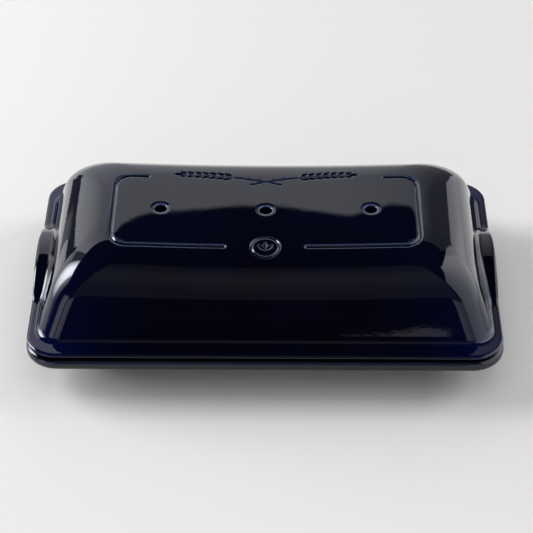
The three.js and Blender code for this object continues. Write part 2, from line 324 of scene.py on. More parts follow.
def sprayParts():
    # grains as base point, direction and length; stems as open lines
    grains, lines = [], []
    for side in (1, -1):
        shares = np.linspace(-0.35, 1, 30)
        lines.append(np.array([sprayPoint(s, side) for s in shares]))
        for share in np.linspace(0.30, 0.92, sprayForm["grains"]):
            base = sprayPoint(share, side)
            along = sprayPoint(share + 0.01, side) - sprayPoint(share - 0.01, side)
            heading = math.atan2(along[1], along[0])
            for turn in (sprayForm["grainTurn"], -sprayForm["grainTurn"]):
                way = np.array([math.cos(heading + turn), math.sin(heading + turn)])
                grains.append((base + way * 0.9, way, sprayForm["grainLength"] * (1 - 0.22 * share)))
        tip = sprayPoint(1.0, side)
        along = tip - sprayPoint(0.98, side)
        grains.append((tip, along / np.linalg.norm(along), sprayForm["grainLength"] * 0.8))
    return grains, lines


def lineDistance(x, y, line):
    best = np.full(len(x), 1e9)
    for a, b in zip(line[:-1], line[1:]):
        run = b - a
        share = np.clip(((x - a[0]) * run[0] + (y - a[1]) * run[1]) / (run @ run), 0, 1)
        best = np.minimum(best, np.hypot(x - a[0] - share * run[0], y - a[1] - share * run[1]))
    return best


def grainShare(x, y, base, way, length, width):
    # 1 along a grain's middle, 0 at its outline, below 0 outside
    u = ((x - base[0]) * way[0] + (y - base[1]) * way[1]) / length
    across = np.abs((x - base[0]) * -way[1] + (y - base[1]) * way[0])
    half = width / 2 * np.sin(np.clip(u, 0, 1) * math.pi) ** 0.75
    beyond = np.maximum(np.maximum(-u, u - 1), 0) * length
    return (half - across - beyond) / (width / 2)


def bossGrains():
    foot = np.array([0, bossForm["y"] - 5.8])
    grains = []
    for turn, size in ((0, 1.0), (bossForm["grainTurn"], 0.8), (-bossForm["grainTurn"], 0.8)):
        way = np.array([math.sin(turn), math.cos(turn)])
        grains.append((foot + way * (0.6 if turn == 0 else 1.4), way, bossForm["grainLength"] * size))
    return grains


def ventReach(x, y):
    # distance to the middle of the nearest vent
    half = (ventForm["count"] - 1) / 2
    nearest = np.clip(np.round(x / ventForm["spacing"]), -half, half)
    return np.hypot(x - nearest * ventForm["spacing"], y)


def reliefAt(x, y):
    # depth below the crown, and how thin the glaze runs on the raised edges
    depth, thin = np.zeros(len(x)), np.zeros(len(x))
    for side in (1, -1):
        away = lineDistance(x, y, bracketLine(side)) / bracketForm["halfWidth"]
        depth = np.maximum(depth, bracketForm["depth"] * np.cos(np.clip(away, 0, 1) * math.pi / 2) ** 1.4)
        thin = np.maximum(thin, np.exp(-((away - 0.93) / 0.16) ** 2))
    grains, lines = sprayParts()
    carved = np.full(len(x), -9.0)
    for base, way, length in grains:
        carved = np.maximum(carved, grainShare(x, y, base, way, length, sprayForm["grainWidth"]))
    depth = np.maximum(depth, sprayForm["grainDepth"] * np.clip(carved, 0, 1) ** 0.8)
    for base, way, length in bossGrains():
        grain = grainShare(x, y, base, way, length, bossForm["grainWidth"])
        depth = np.maximum(depth, bossForm["grainDepth"] * np.clip(grain, 0, 1) ** 0.8)
        carved = np.maximum(carved, grain)
    thin = np.maximum(thin, 0.8 * np.exp(-((carved + 0.12) / 0.16) ** 2))
    for line in lines:
        away = lineDistance(x, y, line) / sprayForm["stemWidth"]
        depth = np.maximum(depth, sprayForm["stemDepth"] * np.cos(np.clip(away, 0, 1) * math.pi / 2))
        thin = np.maximum(thin, 0.6 * np.exp(-((away - 1.1) / 0.3) ** 2) * (carved < -0.3))
    reach = np.hypot(x, y - bossForm["y"])
    ring = np.abs(reach - bossForm["radius"]) / bossForm["halfWidth"]
    depth = np.maximum(depth, bossForm["depth"] * np.cos(np.clip(ring, 0, 1) * math.pi / 2) ** 1.4)
    depth -= bossForm["rise"] * (1 - smoothStep(reach, bossForm["radius"] - 2.4, bossForm["radius"] - 0.6))
    inner = np.where(reach < bossForm["radius"], 1, 0.45)
    thin = np.maximum(thin, np.exp(-((ring - 0.93) / 0.2) ** 2) * inner)
    lip = ventForm["radius"] + ventForm["lip"]
    depth += ventForm["dishDepth"] * (1 - smoothStep(ventReach(x, y), lip - 0.2, ventForm["dish"]))
    return depth, thin


def reliefZone(x, y):
    zone = np.hypot(x, y - bossForm["y"]) < bossForm["radius"] + 3
    zone |= ventReach(x, y) < ventForm["dish"] + 1.4
    for side in (1, -1):
        zone |= lineDistance(x, y, bracketLine(side)) < bracketForm["halfWidth"] + 1.4
    grains, lines = sprayParts()
    for base, way, length in grains:
        zone |= lineDistance(x, y, np.array([base, base + way * length])) < sprayForm["grainWidth"] / 2 + 1
    for line in lines:
        zone |= lineDistance(x, y, line) < sprayForm["stemWidth"] + 1
    return zone


def carveCrown(piece):
    bm = bmesh.new()
    bm.from_mesh(piece.data)
    bm.faces.ensure_lookup_table()
    middles = np.array([f.calc_center_median() for f in bm.faces]) / mm
    high = middles[:, 2] > flangeZ + lidForm["dome"] * lidForm["carveFrom"]
    upper = np.array([f.normal.z > 0.3 for f in bm.faces])
    near = np.flatnonzero(high & upper)
    near = near[reliefZone(middles[near, 0], middles[near, 1])]
    edges = list({e for i in near for e in bm.faces[i].edges})
    bmesh.ops.subdivide_edges(bm, edges=edges, cuts=3, use_grid_fill=True)
    bm.normal_update()
    bm.to_mesh(piece.data)
    bm.free()
    points = coordinates(piece.data)
    normals = np.empty(len(points) * 3, dtype=np.float32)
    piece.data.vertex_normals.foreach_get("vector", normals)
    skin = points[:, 2] > flangeZ + lidForm["dome"] * lidForm["crownFrom"]
    skin &= normals.reshape(-1, 3)[:, 2] > 0.25
    x, y = points[skin, 0], points[skin, 1]
    depth, _ = reliefAt(x, y)
    points[skin, 2] = np.minimum(crownHeight(x, y) - depth, lidBox[1][2])
    setCoordinates(piece.data, points)


def ventTool(i):
    x = (i - (ventForm["count"] - 1) / 2) * ventForm["spacing"]
    crown = float(crownHeight(np.array([x]), np.array([0.0]))[0])
    top, floor = crown - ventForm["dishDepth"], crown - lidForm["wall"]
    radius, lip, low = ventForm["radius"], ventForm["lip"], ventForm["lowerLip"]
    profile = [(radius + low * 1.2, floor - 3)]
    for a in np.linspace(math.radians(72), 0, 6):
        profile.append((radius + low * (1 - math.cos(a)), floor + low * (1 - math.sin(a))))
    for a in np.linspace(0, math.radians(74), 9):
        profile.append((radius + lip * (1 - math.cos(a)), top - lip * (1 - math.sin(a))))
    profile.append((profile[-1][0] + 1.2, profile[-1][1] + 1.2 / math.tan(math.radians(74))))
    profile.append((profile[-1][0], top + 3))
    return lathe("vent" + str(i), profile, x, 0.0, ventForm["sides"])


def lidThinness(points):
    x, y, z = points.T
    onTop = z > flangeZ + lidForm["dome"] * lidForm["crownFrom"]
    top = crownHeight(x, y)
    thin = np.where(onTop & (z > top - 2.2), reliefAt(x, y)[1], 0)
    lip = np.exp(-((ventReach(x, y) - ventForm["radius"] - 0.8) / 0.75) ** 2)
    thin = np.maximum(thin, np.where(z > top - ventForm["dishDepth"] - 1.1, lip, 0))
    rim = outside(x, y, lidHalf[0], lidHalf[1], lidForm["corner"])
    edge = np.exp(-((rim + 0.7) / 0.5) ** 2) * smoothStep(z - gripArch(y) - flangeZ, -2.4, -0.9)
    return np.maximum(thin, 0.06 * edge * (z < flangeZ + 22))


# painted side light on the hips: how far it reaches and how it weakens up the walls
sideLightForm = {"reach": 48, "low": 0.9, "rise": -0.86}


def lidSideLight(points):
    # painted side light: the glaze is painted bluest beside the hips, where side light falls, most of all near
    # the foot of the walls
    x, y, z = points.T
    fromHip = np.abs((footHalf[0] - np.abs(x)) - (footHalf[1] - np.abs(y)))
    height = np.clip((z - flangeZ) / lidForm["dome"], 0, 1)
    return np.exp(-(fromHip / sideLightForm["reach"]) ** 2) * (sideLightForm["low"] + sideLightForm["rise"] * height)


lidPiece = loft("lidShell", lidRings())
carveCrown(lidPiece)
combine(lidPiece, [ventTool(i) for i in range(ventForm["count"])], "DIFFERENCE")
storeMask(lidPiece.data, "glazeThin", lidThinness(coordinates(lidPiece.data)))
# mask of the painted side light on the hips
storeMask(lidPiece.data, "paintedSideLight", lidSideLight(coordinates(lidPiece.data)))
finishMesh(lidPiece, 40)
print("lid", len(lidPiece.data.polygons), "faces")


# tray

trayForm = {
    "corner": 27, "rimEdge": 4.2, "rimUnder": 5.2, "slotDrop": 1.2, "slotDepth": 6.2, "rimHeight": 11.6,
    "rimStep": 3.0, "ridgeHeight": 3.0, "ridgeWidth": 4.4,
    "ridgeClearance": 1.2, "ridgeDraft": 0.8, "ridgeEdge": 1.5, "seatGap": 0.3,
    "count": 3, "gap": 3.0, "margin": 0.6, "endMargin": 6.0, "endRun": 42, "wall": 7.0,
    "lip": 1.2, "footEase": 0.6,
    "steps": {"end": 96, "corner": 16, "side": 60},
    "troughSteps": {"end": 72, "side": 40, "levels": 26},
}
rimHalf = trayBox[1][:2]
rimZ = lidBox[0][2] - trayForm["seatGap"]
fieldZ = rimZ - trayForm["rimStep"]
mouthAt = lidForm["wall"] / math.sin(lidForm["wallAngle"]) + trayForm["ridgeClearance"]
ridgeFoot = mouthAt + (rimZ - flangeZ) * lean
ridgeTop = mouthAt + (rimZ + trayForm["ridgeHeight"] - flangeZ) * lean
fieldInset = ridgeFoot + trayForm["ridgeWidth"] + trayForm["ridgeDraft"]
fieldHalf = footHalf - fieldInset
troughBand = 2 * (fieldHalf[1] - trayForm["margin"])
troughRadius = (troughBand - (trayForm["count"] - 1) * trayForm["gap"]) / (2 * trayForm["count"])
troughPitch = 2 * troughRadius + trayForm["gap"]
troughHalf = fieldHalf[0] - trayForm["endMargin"]


def roundedProfile(points, radii, steps=5):
    # a polyline with its inner corners turned into arcs
    points = [np.array(p, dtype=float) for p in points]
    made = [points[0]]
    for before, corner, after, radius in zip(points, points[1:], points[2:], radii):
        back = (before - corner) / np.linalg.norm(before - corner)
        on = (after - corner) / np.linalg.norm(after - corner)
        half = math.acos(np.clip(back @ on, -1, 1)) / 2
        centre = corner + (back + on) / np.linalg.norm(back + on) * radius / math.sin(half)
        start = corner + back * radius / math.tan(half) - centre
        stop = corner + on * radius / math.tan(half) - centre
        sweep = math.acos(np.clip(start @ stop / radius ** 2, -1, 1))
        for s in np.linspace(0, 1, steps):
            spoke = start * math.sin((1 - s) * sweep) + stop * math.sin(s * sweep)
            made.append(centre + spoke / math.sin(sweep))
    made.append(points[-1])
    return made


def rimRing(setIn, z):
    corner = trayForm["corner"] - setIn
    return level(rounded(rimHalf[0] - setIn, rimHalf[1] - setIn, corner, trayForm["steps"]), z)


def trayRings():
    steps, edge = trayForm["steps"], trayForm["rimEdge"]
    top = rimZ + trayForm["ridgeHeight"]
    ridgeBack = ridgeTop + trayForm["ridgeWidth"] - trayForm["ridgeDraft"]
    profile = roundedProfile(
        [(fieldInset + 3, fieldZ), (fieldInset, fieldZ), (ridgeBack, top), (ridgeTop, top), (ridgeFoot, rimZ),
         (ridgeFoot - 3, rimZ)],
        [0.5, trayForm["ridgeEdge"], trayForm["ridgeEdge"] * 0.9, 0.9])
    ridge = [level(rounded(footHalf[0] - i, footHalf[1] - i, lidForm["footCorner"], steps), z)
             for i, z in profile]
    slot, shelf = trayForm["slotDepth"], rimZ - trayForm["slotDrop"]
    upper = [rimRing(slot + 0.8, rimZ), rimRing(slot, shelf)]
    upper += [rimRing(edge * (1 - math.sin(a)), shelf - edge * (1 - math.cos(a)))
              for a in np.linspace(0, math.pi / 2, 12)]
    under, base = trayForm["rimUnder"], rimZ - trayForm["rimHeight"]
    lower = [rimRing(under * (1 - math.sin(a)), base + under * (1 - math.cos(a)))
             for a in np.linspace(math.pi / 2, 0, 8)]
    return ridge + between(ridge[-1], upper[0], 2) + upper + lower


def eggRing(halfLength, halfWidth, endRun, y, z):
    # plan of a trough at one level: straight sides with egg-shaped ends
    steps = trayForm["troughSteps"]
    straight = halfLength - endRun
    turn = np.arange(steps["end"] // 2) / (steps["end"] // 2) * math.pi / 2
    side = 1 - np.arange(steps["side"] // 2) / (steps["side"] // 2)
    quarter = np.concatenate([
        np.column_stack([straight + endRun * np.cos(turn), halfWidth * np.sin(turn)]),
        np.column_stack([straight * side, np.full(len(side), halfWidth)]),
    ])
    upper = np.concatenate([quarter, [[0, halfWidth]], quarter[::-1] * [-1, 1]])
    ring = np.concatenate([upper, upper[1:-1][::-1] * [1, -1]])
    return level(ring + [0, y], z)


def troughRings(y, radius, halfLength, angles, settle):
    straight = halfLength - trayForm["endRun"]
    rings = []
    for a in angles:
        reach = math.sin(a)
        run = trayForm["endRun"] * reach
        rings.append(eggRing(straight + run, radius * reach, run, y, settle(fieldZ - radius * math.cos(a))))
    return rings


def hollow(i, y):
    lip = trayForm["lip"]
    radius = troughRadius - 0.7
    length = troughHalf - 0.7
    meet = math.asin((radius + lip * 0.2) / (radius + lip))
    angles = np.linspace(0.02, meet, trayForm["troughSteps"]["levels"])
    rings = troughRings(y, radius, length, angles, lambda z: z)
    base = rings[-1][0][2]
    straight = length - trayForm["endRun"]
    lipEnd = math.radians(72)
    for a in np.linspace(0, lipEnd, 7)[1:]:
        out = lip * (1 - math.cos(a))
        z = base + (fieldZ - base) * math.sin(a) / math.sin(lipEnd)
        run = trayForm["endRun"] * math.sin(meet) + out
        rings.append(eggRing(straight + run, radius * math.sin(meet) + out, run, y, z))
    run += 0.5
    rings.append(eggRing(straight + run, radius * math.sin(meet) + out + 0.5, run, y, fieldZ + 0.2))
    rings.append(eggRing(straight + run, radius * math.sin(meet) + out + 0.5, run, y, fieldZ + 8))
    return loft("hollow" + str(i), rings[::-1])


def bar(i, y):
    ease = trayForm["footEase"]
    radius, length = troughRadius + trayForm["wall"], troughHalf + trayForm["wall"]
    depth = radius - fieldZ
    rest = (math.hypot(depth, ease) - depth) / 2

    def settle(z):
        return (z + math.hypot(z, ease)) / 2 - rest

    top = math.acos((trayForm["rimHeight"] - trayForm["rimStep"]) / 2 / radius)
    angles = np.concatenate([np.linspace(0.02, 0.5, 20), np.linspace(0.5, top, 26)[1:]])
    return loft("bar" + str(i), troughRings(y, radius, length, angles, settle)[::-1])


def trayThinness(points):
    x, y, z = points.T
    rim = outside(x, y, rimHalf[0], rimHalf[1], trayForm["corner"])
    thin = 0.32 * np.exp(-((z - rimZ + 3.4) / 0.8) ** 2) * smoothStep(rim, -1.6, -0.6)
    thin = np.maximum(thin, 0.7 * smoothStep(z, rimZ + 1.8, rimZ + 2.8))
    lip = np.exp(-((z - fieldZ + 0.4) / 0.45) ** 2)
    inside = outside(x, y, fieldHalf[0] - 1, fieldHalf[1] - 0.2, 6) < 0
    return np.maximum(thin, 0.75 * lip * inside)


def trayDullness(points):
    # the lower edge of the rim is darker and rougher
    x, y, z = points.T
    rim = outside(x, y, rimHalf[0], rimHalf[1], trayForm["corner"])
    return smoothStep(rimZ - z, 4.6, 6.2) * smoothStep(rim, -9, -6)


places = [(i - (trayForm["count"] - 1) / 2) * troughPitch for i in range(trayForm["count"])]
trayPiece = loft("troughTray", trayRings())
combine(trayPiece, [bar(i, y) for i, y in enumerate(places)], "UNION")
combine(trayPiece, [hollow(i, y) for i, y in enumerate(places)], "DIFFERENCE")
storeMask(trayPiece.data, "glazeThin", trayThinness(coordinates(trayPiece.data)))
storeMask(trayPiece.data, "glazeDull", trayDullness(coordinates(trayPiece.data)))
finishMesh(trayPiece, 34)
print("tray", len(trayPiece.data.polygons), "faces")


# glaze

glazeForm = {
    "body": (0.0010, 0.0014, 0.0078, 1), "depth": (0.0008, 0.0011, 0.0048, 1), "poolScale": 26,
    # next: the brighter blue of painted side light on the hips
    "sideLitBlue": (0.0012, 0.0034, 0.034, 1), "edge": (0.070, 0.105, 0.210, 1), "breakScale": 420,
    "roughness": 0.012, "mottle": 0.01, "mottleScale": 150,
    "waveHeight": 0.00007, "waveStrength": 0.5, "slowWave": 0.14, "slowScale": 60, "quickScale": 300,
    "dull": (0.004, 0.004, 0.004, 1), "dullRoughness": 0.22,
    "clay": (0.42, 0.33, 0.24, 1), "clayDark": (0.30, 0.23, 0.16, 1), "clayRoughness": 0.85, "clayScale": 1500,
    "clayEdge": 0.0006, "clayEdgeScale": 300,
}


def wire(tree, source, target):
    tree.links.new(source, target)


def mathNode(tree, operation, first, second):
    node = tree.nodes.new("ShaderNodeMath")
    node.operation = operation
    for socket, value in zip(node.inputs, (first, second)):
        if isinstance(value, (int, float)):
            socket.default_value = value
        else:
            wire(tree, value, socket)
    return node.outputs[0]


def noiseNode(tree, vector, scale, detail):
    node = tree.nodes.new("ShaderNodeTexNoise")
    node.inputs["Scale"].default_value = scale
    node.inputs["Detail"].default_value = detail
    wire(tree, vector, node.inputs["Vector"])
    return node.outputs["Fac"]


def rangeNode(tree, value, low, high, toLow, toHigh):
    node = tree.nodes.new("ShaderNodeMapRange")
    for name, number in zip(("From Min", "From Max", "To Min", "To Max"), (low, high, toLow, toHigh)):
        node.inputs[name].default_value = number
    wire(tree, value, node.inputs["Value"])
    return node.outputs["Result"]


def mixColour(tree, factor, first, second):
    node = tree.nodes.new("ShaderNodeMix")
    node.data_type = "RGBA"
    wire(tree, factor, node.inputs["Factor"])
    for socket, value in ((node.inputs[6], first), (node.inputs[7], second)):
        if isinstance(value, tuple):
            socket.default_value = value
        else:
            wire(tree, value, socket)
    return node.outputs[2]


def glazeGroup():
    # pooled colour, painted side light on the hips, thin edges, and the soft waves of a fired glaze
    group = bpy.data.node_groups.new("firedGlaze", "ShaderNodeTree")
    for name, kind in (("Vector", "Vector"), ("Thin", "Float"), ("Run", "Float"), ("Turn", "Float"),
                       ("Body", "Color"), ("Depth", "Color"), ("SideLitBlue", "Color"), ("Edge", "Color"),
                       ("Gloss", "Float")):
        group.interface.new_socket(name, in_out="INPUT", socket_type="NodeSocket" + kind)
    for name, kind in (("Color", "Color"), ("Roughness", "Float"), ("Height", "Float")):
        group.interface.new_socket(name, in_out="OUTPUT", socket_type="NodeSocket" + kind)
    given = group.nodes.new("NodeGroupInput").outputs
    result = group.nodes.new("NodeGroupOutput").inputs
    pool = rangeNode(group, noiseNode(group, given["Vector"], glazeForm["poolScale"], 2), 0.3, 0.7, 0, 1)
    colour = mixColour(group, pool, given["Depth"], given["Body"])
    # painted side light: the hips are mixed towards a brighter blue
    colour = mixColour(group, given["Turn"], colour, given["SideLitBlue"])
    broken = rangeNode(group, noiseNode(group, given["Vector"], glazeForm["breakScale"], 2), 0.3, 0.6, 0.55, 1)
    thin = mathNode(group, "MULTIPLY", given["Thin"], broken)
    wire(group, mixColour(group, thin, colour, given["Edge"]), result["Color"])
    cloud = noiseNode(group, given["Vector"], glazeForm["mottleScale"], 3)
    mottled = rangeNode(group, cloud, 0.4, 0.75, 0, glazeForm["mottle"])
    wire(group, mathNode(group, "ADD", given["Gloss"], mottled), result["Roughness"])
    # the glaze lies flat on the crown and runs in small waves on the walls
    slow = noiseNode(group, given["Vector"], glazeForm["slowScale"], 1)
    quick = noiseNode(group, given["Vector"], glazeForm["quickScale"], 1)
    swell = mathNode(group, "MULTIPLY", slow, glazeForm["slowWave"])
    ripple = mathNode(group, "MULTIPLY", quick, given["Run"])
    wire(group, mathNode(group, "ADD", swell, ripple), result["Height"])
    return group


def glazeMaterial(name, group, bareFoot):
    material = bpy.data.materials.new(name)
    material.use_nodes = True
    tree = material.node_tree
    shader = tree.nodes["Principled BSDF"]
    place = tree.nodes.new("ShaderNodeTexCoord").outputs["Object"]
    skin = tree.nodes.new("ShaderNodeGroup")
    skin.node_tree = group
    wire(tree, place, skin.inputs["Vector"])
    for socket, mask in (("Thin", "glazeThin"), ("Run", "glazeRun"), ("Turn", "paintedSideLight")):
        stored = tree.nodes.new("ShaderNodeAttribute")
        stored.attribute_name = mask
        wire(tree, stored.outputs["Fac"], skin.inputs[socket])
    for socket, key in (("Body", "body"), ("Depth", "depth"), ("SideLitBlue", "sideLitBlue"), ("Edge", "edge")):
        skin.inputs[socket].default_value = glazeForm[key]
    skin.inputs["Gloss"].default_value = glazeForm["roughness"]
    colour, rough = skin.outputs["Color"], skin.outputs["Roughness"]
    if bareFoot:
        # the lower edge of the rim is mixed darker and rougher
        underBand = tree.nodes.new("ShaderNodeAttribute")
        underBand.attribute_name = "glazeDull"
        colour = mixColour(tree, underBand.outputs["Fac"], colour, glazeForm["dull"])
        dulled = mathNode(tree, "MULTIPLY", underBand.outputs["Fac"], glazeForm["dullRoughness"])
        rough = mathNode(tree, "MAXIMUM", rough, dulled)
        axes = tree.nodes.new("ShaderNodeSeparateXYZ")
        wire(tree, place, axes.inputs[0])
        ragged = noiseNode(tree, place, glazeForm["clayEdgeScale"], 2)
        ragged = mathNode(tree, "MULTIPLY", ragged, glazeForm["clayEdge"])
        foot = mathNode(tree, "LESS_THAN", axes.outputs["Z"], ragged)
        grain = rangeNode(tree, noiseNode(tree, place, glazeForm["clayScale"], 2), 0.3, 0.7, 0.75, 1.1)
        clay = mixColour(tree, grain, glazeForm["clayDark"], glazeForm["clay"])
        colour = mixColour(tree, foot, colour, clay)
        rough = mathNode(tree, "MAXIMUM", rough, mathNode(tree, "MULTIPLY", foot, glazeForm["clayRoughness"]))
    wire(tree, colour, shader.inputs["Base Color"])
    wire(tree, rough, shader.inputs["Roughness"])
    bump = tree.nodes.new("ShaderNodeBump")
    bump.inputs["Strength"].default_value = glazeForm["waveStrength"]
    bump.inputs["Distance"].default_value = glazeForm["waveHeight"]
    wire(tree, skin.outputs["Height"], bump.inputs["Height"])
    wire(tree, bump.outputs["Normal"], shader.inputs["Normal"])
    return material


glaze = glazeGroup()
for piece, body, node, slotName, bareFoot in (
        (lidPiece, "lid", "lid", "lid_glaze", False),
        (trayPiece, "tray", "base_tray", "tray_glaze", True)):
    piece.data.materials.clear()
    piece.data.materials.append(glazeMaterial(piece.name + "Glaze", glaze, bareFoot))
    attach(piece, body)
    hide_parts(node)
print("glaze on both pieces")


# camera

cameraForm = {"focal": 1895.9, "frame": 533, "distance": 1618.65, "elevation": math.radians(39.114),
              "yaw": math.radians(-0.414), "aim": (0.643, -3.904)}
lens = bpy.data.cameras.new("studioCamera")
camera = bpy.data.objects.new("studioCamera", lens)
scene.collection.objects.link(camera)
lens.sensor_fit = "HORIZONTAL"
lens.sensor_width = 36
lens.lens = cameraForm["focal"] / cameraForm["frame"] * lens.sensor_width
lens.clip_start, lens.clip_end = 0.05, 60
turn = Matrix.Rotation(-cameraForm["yaw"], 4, "Z")
back = cameraForm["distance"] * math.cos(cameraForm["elevation"])
up = cameraForm["distance"] * math.sin(cameraForm["elevation"])
stand = Vector((cameraForm["aim"][0], cameraForm["aim"][1] - back, flangeZ + up)) * mm
camera.matrix_world = (turn @ Matrix.Translation(stand)
                       @ Matrix.Rotation(math.pi / 2 - cameraForm["elevation"], 4, "X"))
scene.camera = camera


# studio

studioForm = {
    "pale": 0.80, "floorColour": (0.80, 0.80, 0.80, 1), "floorRadius": 1.25, "floorSides": 96, "fadeFrom": 0.75,
    "floorShine": 0.25, "shineFrom": (-0.08, 0.1), "aim": (0, 0, 0.02),
    # dim light from the world, as (share of the way up, value) stops
    "sky": ((0.0, 0.01), (0.505, 0.012), (0.53, 0.16), (0.72, 0.16), (0.82, 0.03), (1.0, 0.02)),
    "lamps": {
        "windowLamp": {"at": (-2.1, 0.68, 1.15), "size": (1.3, 1.6), "power": 68},
        "rightLamp": {"at": (2.0, 0.5, 1.4), "size": (1.2, 1.0), "power": 20.5},
        "backLamp": {"at": (0.3, 2.0, 1.6), "size": (1.8, 1.0), "power": 8.5},
        "topLamp": {"at": (0.1, -0.6, 1.7), "size": (2.0, 1.8), "power": 9.7},
        "frontLamp": {"at": (0.1, -1.1, 0.45), "size": (1.4, 0.5), "power": 2.5},
    },
}

roomForm = {
    "radius": 1.7, "height": 0.10, "dark": 0.012, "tint": (0.95, 0.98, 1.05, 1),
    # rows and columns of the dome, finer where a board's edge shows sharply on the crown or the front wall
    "rows": [(-20, 89.5, 270), (36.1, 40.9, 60), (-3.3, -0.7, 40)],
    "columns": [(0, 360, 0.75, 0), (76, 106, 0.125, 0.03), (272, 282, 0.25, 0.03)],
    # azimuths run from +X towards +Y; tops, glows and fades are given as (degrees, value) points
    "boards": {
        "frontRoom": {"span": (236, 306), "side": 8, "low": 18.5, "soft": 1.0, "top": [(236, 82)],
                      "glow": [(236, 0.16)], "fade": [(18, 0.7), (32, 0.7), (60, 1.3), (82, 0.4)]},
        "frontStreak": {"span": (273.8, 279.8), "side": 0.4, "low": -3.2, "soft": 0.14,
                        "top": [(274, -1.25), (276, -1.75), (278, -2.1), (279.6, -2.4)],
                        "glow": [(274, 0.25), (277, 0.55)]},
        "rightFront": {"span": (282, 318), "side": 0.8, "low": -3, "soft": 1.5, "top": [(278, 17)],
                       "glow": [(282, 0.75), (302, 0.5)]},
        "backWall": {"span": (47, 139), "side": 0.6, "low": -30, "soft": 0.15,
                     "top": [(72, 46.5), (80, 40), (83, 37.3), (84.8, 37.2), (86.7, 37.8), (89.8, 37.2),
                             (91.6, 37.2), (95.7, 37.75), (97.8, 38.5), (101, 41), (109, 46.5)],
                     "glow": [(47, 0.17), (66, 0.22), (74, 0.4), (83, 0.78), (87.5, 1.02), (112, 1.05),
                              (121, 1.5), (138, 2.4)],
                     "fade": [(0, 0.75), (24, 1)]},
        "darkGap": {"span": (121, 139), "side": 1.0, "low": -30, "soft": 0.8,
                    "top": [(132.2, 4), (133.1, 8), (134.4, 16.5), (135.4, 22)], "glow": [(121, 0.08)]},
        "rightShelf": {"span": (46, 60), "side": 0.6, "low": -30, "soft": 0.8, "top": [(47, 20), (58, 3)],
                       "glow": [(46, 1.25)]},
        "rightPanel": {"span": (-48, 47), "side": 1.2, "low": -30, "soft": 0.6,
                       "top": [(-48, 53), (-40, 56), (-20, 60), (14, 62), (30, 55), (40, 48), (47, 40)],
                       "glow": [(-48, 1.1), (-10, 1.5), (10, 2.1), (30, 2.7), (38, 2.6), (42, 1.8)],
                       "fade": [(-5, 0.8), (12, 1)]},
        "leftJamb": {"span": (139, 151), "side": 0.8, "low": -30, "soft": 1.0, "top": [(139, 47)],
                     "glow": [(139, 1.8)], "fade": [(24, 1), (32, 0.22)]},
        "window": {"span": (150, 189), "side": 1.2, "low": -8, "soft": 1.2,
                   "top": [(150, 46), (165, 44), (180, 41), (189, 36)],
                   "glow": [(150, 4), (159, 17), (172, 17), (177, 3.2), (184, 1.6), (189, 1.2)],
                   "fade": [(-5, 0.12), (10, 0.5), (22, 0.85), (32, 1.1)]},
        "leftFront": {"span": (208, 225), "side": 2, "low": -3, "soft": 2, "top": [(208, 24)],
                      "glow": [(208, 1.0), (225, 1.5)]},
        "leftFrame": {"span": (229, 248), "side": 2, "low": -3, "soft": 3, "top": [(229, 19)],
                      "glow": [(229, 1.1), (248, 0.7)]},
    },
    # a low card on the left, paler at its near foot
    "card": {"from": (-0.29, 0.13), "to": (-0.42, 0.42), "top": 0.115, "dark": 0.08, "pale": 0.38,
             "paleAlong": (0.27, 0.48), "paleUp": (0.5, 0.88), "columns": 40, "rows": 16},
}


def roomGlow(azimuth, elevation):
    # boards laid over each other in turn
    glow = np.full(azimuth.shape, float(roomForm["dark"]))
    for board in roomForm["boards"].values():
        first, last = board["span"]
        turn = (azimuth - (first + last) / 2 + 180) % 360 - 180 + (first + last) / 2
        top = np.interp(turn, *zip(*board["top"]))
        share = smoothStep(turn, first - board["side"], first + board["side"])
        share = share * (1 - smoothStep(turn, last - board["side"], last + board["side"]))
        share = share * smoothStep(elevation, board["low"] - board["soft"], board["low"] + board["soft"])
        share = share * (1 - smoothStep(elevation - top, -board["soft"], board["soft"]))
        fade = np.interp(elevation, *zip(*board.get("fade", [(0, 1)])))
        shine = np.interp(turn, *zip(*board["glow"])) * fade
        glow = glow + share * (shine - glow)
    return glow


